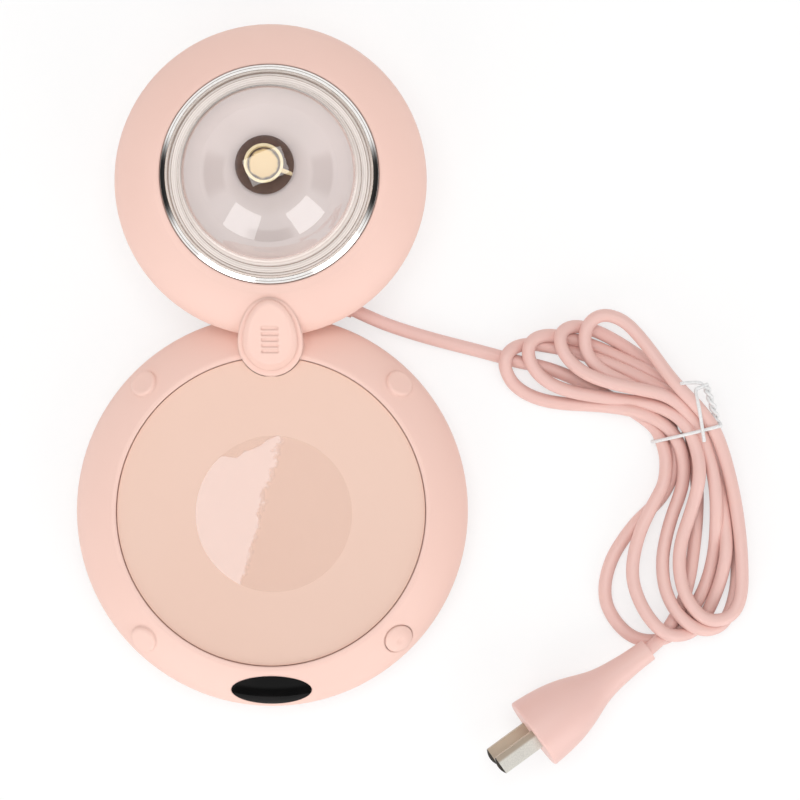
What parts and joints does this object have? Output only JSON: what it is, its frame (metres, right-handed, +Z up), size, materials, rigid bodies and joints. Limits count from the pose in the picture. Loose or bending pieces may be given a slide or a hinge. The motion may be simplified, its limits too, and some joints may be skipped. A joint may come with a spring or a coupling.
{
  "type": "electric mug warmer",
  "caption": "Low round mug warmer with a heated plate, a push button and an oval display, joined to a taller round night light with a clear dome; bundled mains cord with plug.",
  "frame": {"origin": "table plane under the middle of the two housings' length: z = 0 is the underside of the feet, x = 0 the plane through both centres", "axes": "+Z up out of the warming plate, +Y from the warming base towards the lamp head, +X to the right seen from the front"},
  "size_m": [0.2239, 0.2459, 0.06],
  "materials": {
    "blades": "nickel-plated",
    "board": "satin",
    "button": "matte peach pink",
    "can": "sleeved",
    "ceramic": "gloss",
    "chrome": "polished",
    "clear": "clear plastic",
    "coffee": "gloss",
    "component": "satin",
    "connector": "satin",
    "copper": "plain",
    "cord": "satin pink",
    "cover": "matte peach pink",
    "diffuser": "frosted",
    "digits": "satin",
    "feet": "matte",
    "led": "gloss",
    "mica": "matte",
    "pad": "fibrous",
    "plate": "anodised champagne, fine satin",
    "plug": "satin pink",
    "plunger": "satin",
    "shell": "matte peach pink",
    "silicone": "matte",
    "steel": "plain",
    "terminal": "satin",
    "tie": "white",
    "window": "gloss",
    "wire": "satin"
  },
  "bodies": {
    "warmer": {"base_bottom_cover": "cover", "board_screws": "steel", "button_board": "board", "capacitors": "can", "chrome_ring": "chrome", "clamp_screws": "steel", "coffee": "coffee", "control_board": "board", "controller_chip": "component", "cord_clamp": "connector", "cord_hank": "cord", "cord_lead": "cord", "cord_tail": "cord", "cover_screws": "steel", "cup": "ceramic", "display_board": "board", "display_digits": "digits", "display_window": "window", "dome": "clear", "head_bottom_cover": "cover", "heat_shield": "steel", "heater_element": "mica", "heater_leads": "wire", "heater_relay": "component", "heating_plate": "plate", "insulation_pad": "pad", "lamp_board": "board", "lamp_board_screws": "steel", "lamp_connector": "connector", "lamp_leads": "wire", "lamp_leds": "led", "light_diffuser": "diffuser", "mains_connector": "terminal", "mains_leads": "wire", "mains_sheath": "cord", "panel_screws": "steel", "plate_seal": "silicone", "plug_blades": "blades", "plug_body": "plug", "power_choke": "copper", "rubber_feet": "feet", "saucer": "ceramic", "shield_screws": "steel", "strain_relief": "cord", "tact_switch": "component", "terminal_block": "terminal", "thermal_fuse": "wire", "thermistor": "component", "twist_tie": "tie", "upper_shell": "shell"},
    "button": {"push_button": "button", "switch_plunger": "plunger"}
  },
  "joints": [
    {"name": "button_press", "type": "slide", "parent": "warmer", "child": "button", "axis": [-0.4216, 0.4216, -0.8028], "range_m": [0, 0.0008], "stiffness_N_per_m": 150, "springref_m": -0.001}
  ]
}
